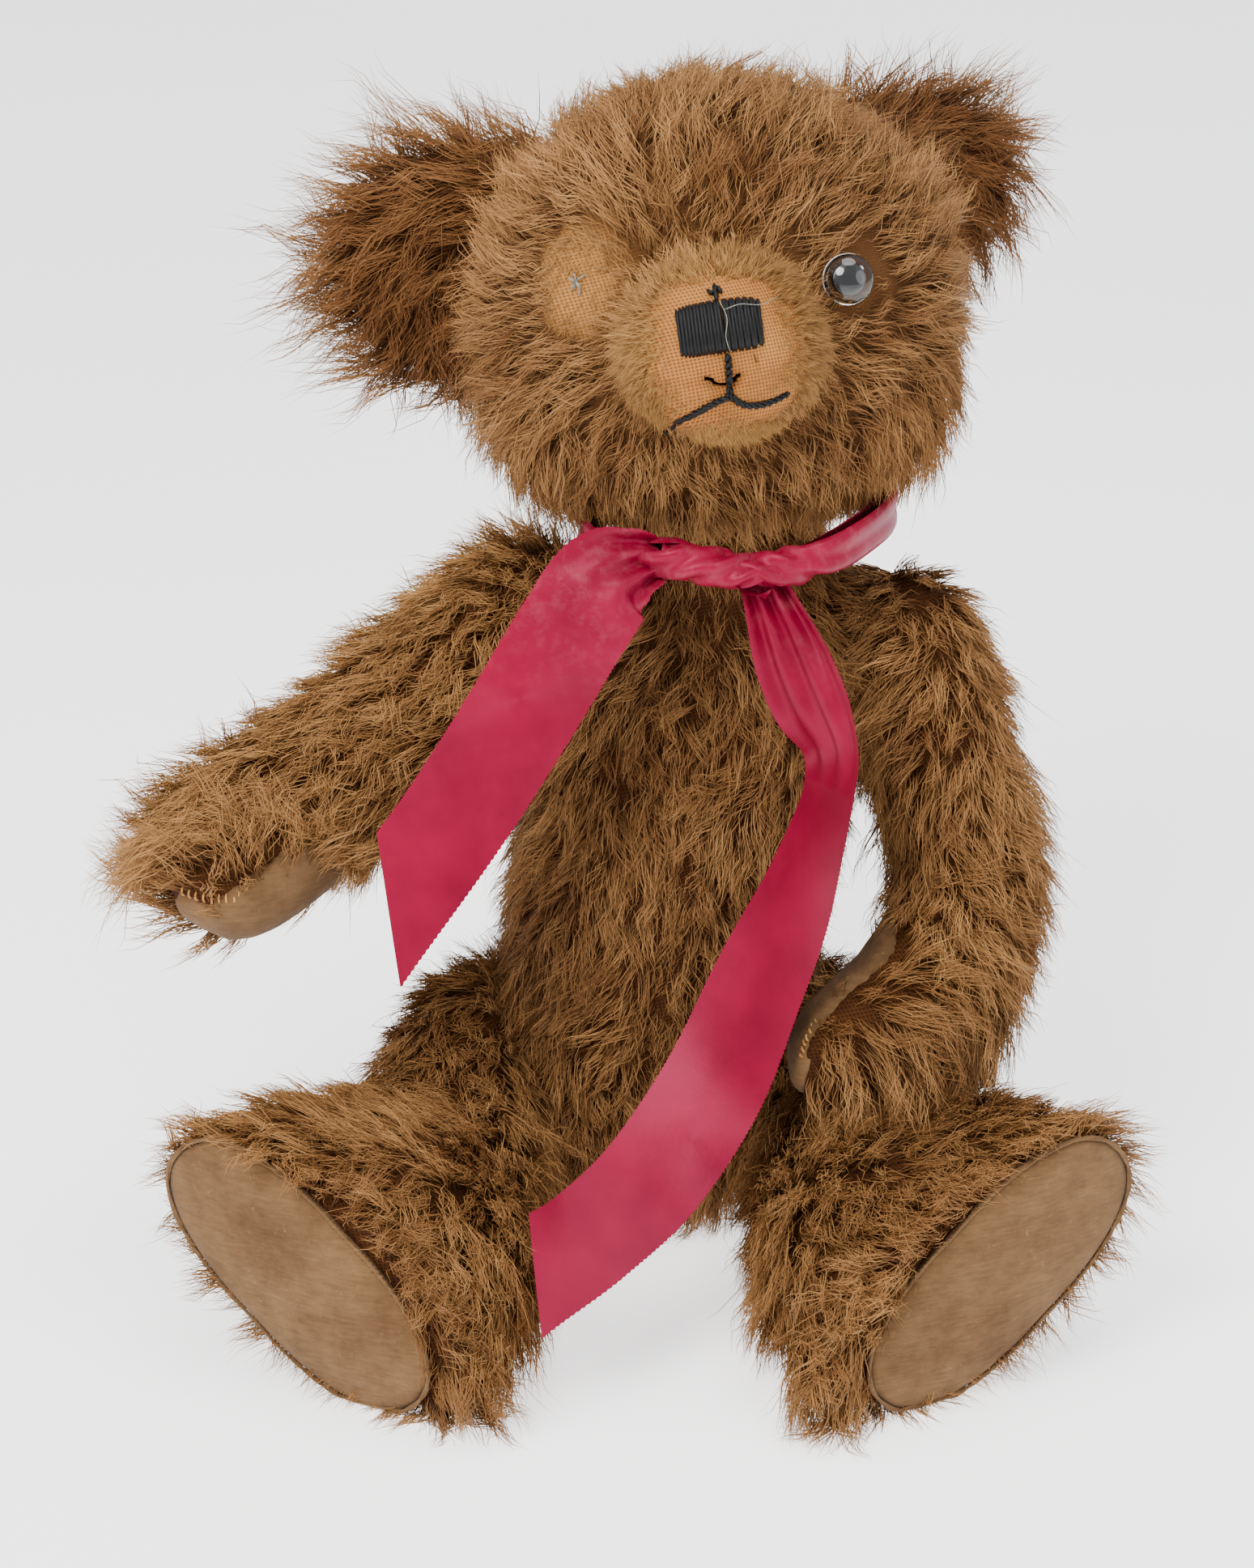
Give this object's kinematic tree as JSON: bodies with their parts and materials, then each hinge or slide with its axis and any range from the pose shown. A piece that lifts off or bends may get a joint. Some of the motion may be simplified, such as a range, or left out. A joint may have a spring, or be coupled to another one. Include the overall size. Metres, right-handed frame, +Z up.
{
  "type": "jointed teddy bear",
  "caption": "Seated mohair teddy bear with disc-jointed head, arms and legs, velveteen paw and foot pads, a stitched nose, a glass eye and a satin neck ribbon.",
  "frame": {"origin": "middle of the flat seat the bear sits on, under the body", "axes": "+Z up, the bear faces -Y, its own left side is at +X"},
  "size_m": [0.2276, 0.1899, 0.2815],
  "materials": {
    "mohair": "long-pile mohair plush in locks on a woven backing",
    "muzzle_pile": "short clipped pile with the weave showing through",
    "velveteen": "worn tan velveteen, hand stitched at its edge",
    "ribbon_satin": "crimson satin ribbon with a picot edge",
    "wood_wool": "packed wood wool",
    "hardboard": "pressed brown board",
    "sole_card": "grey-brown card",
    "steel": "plain steel wire and sheet",
    "eye_glass": "clear glass button, painted behind",
    "pupil_paint": "black paint",
    "black_thread": "black floss, satin stitched",
    "grey_thread": "loose ends of linen thread",
    "brown_thread": "waxed brown thread"
  },
  "bodies": {
    "torso": {"torso_skin": "mohair", "torso_stuffing": "wood_wool", "torso_neck_disc": "hardboard", "torso_neck_washer": "steel", "back_closing_stitches": "brown_thread", "ribbon_collar": "ribbon_satin", "ribbon_knot": "ribbon_satin", "ribbon_right_tail": "ribbon_satin", "ribbon_left_tail": "ribbon_satin", "right_torso_arm_disc": "hardboard", "right_torso_arm_washer": "steel", "right_torso_leg_disc": "hardboard", "right_torso_leg_washer": "steel", "left_torso_arm_disc": "hardboard", "left_torso_arm_washer": "steel", "left_torso_leg_disc": "hardboard", "left_torso_leg_washer": "steel"},
    "right_arm": {"right_arm_skin": "mohair", "right_arm_stuffing": "wood_wool", "right_paw_pad": "velveteen", "right_arm_disc": "hardboard", "right_arm_washer": "steel", "right_arm_cotter_pin": "steel"},
    "right_leg": {"right_leg_skin": "mohair", "right_leg_stuffing": "wood_wool", "right_foot_pad": "velveteen", "right_foot_card": "sole_card", "right_leg_disc": "hardboard", "right_leg_washer": "steel", "right_leg_cotter_pin": "steel"},
    "left_arm": {"left_arm_skin": "mohair", "left_arm_stuffing": "wood_wool", "left_paw_pad": "velveteen", "left_arm_disc": "hardboard", "left_arm_washer": "steel", "left_arm_cotter_pin": "steel"},
    "left_leg": {"left_leg_skin": "mohair", "left_leg_stuffing": "wood_wool", "left_foot_pad": "velveteen", "left_foot_card": "sole_card", "left_leg_disc": "hardboard", "left_leg_washer": "steel", "left_leg_cotter_pin": "steel"},
    "head": {"head_skin": "mohair", "muzzle_skin": "muzzle_pile", "head_stuffing": "wood_wool", "head_disc": "hardboard", "head_washer": "steel", "neck_cotter_pin": "steel", "right_ear": "mohair", "left_ear": "mohair", "left_eye": "eye_glass", "left_eye_pupil": "pupil_paint", "left_eye_shank": "steel", "right_eye_thread": "grey_thread", "nose_stitching": "black_thread", "mouth_stitching": "black_thread"}
  },
  "joints": [
    {"name": "neck_swivel", "type": "hinge", "parent": "torso", "child": "head", "pos_m": [0.0238, 0.01595, 0.18074], "axis": [0.0174, 0.1045, 0.9944], "continuous": true},
    {"name": "right_shoulder", "type": "hinge", "parent": "torso", "child": "right_arm", "pos_m": [-0.01723, 0.01238, 0.14495], "axis": [-0.8008, 0.2146, 0.5592], "range_deg": [-100, 75], "deforming": ["ribbon_right_tail"]},
    {"name": "left_shoulder", "type": "hinge", "parent": "torso", "child": "left_arm", "pos_m": [0.05559, 0.01333, 0.14641], "axis": [-0.9891, 0.104, 0.1045], "range_deg": [-2, 125]},
    {"name": "right_hip", "type": "hinge", "parent": "torso", "child": "right_leg", "pos_m": [-0.0212, 0.00106, 0.03814], "axis": [-0.9303, 0.1977, -0.309], "range_deg": [-72, 20]},
    {"name": "left_hip", "type": "hinge", "parent": "torso", "child": "left_leg", "pos_m": [0.03126, 0.00167, 0.03826], "axis": [-0.9303, -0.1977, 0.309], "range_deg": [-72, 1], "deforming": ["ribbon_left_tail"]}
  ]
}
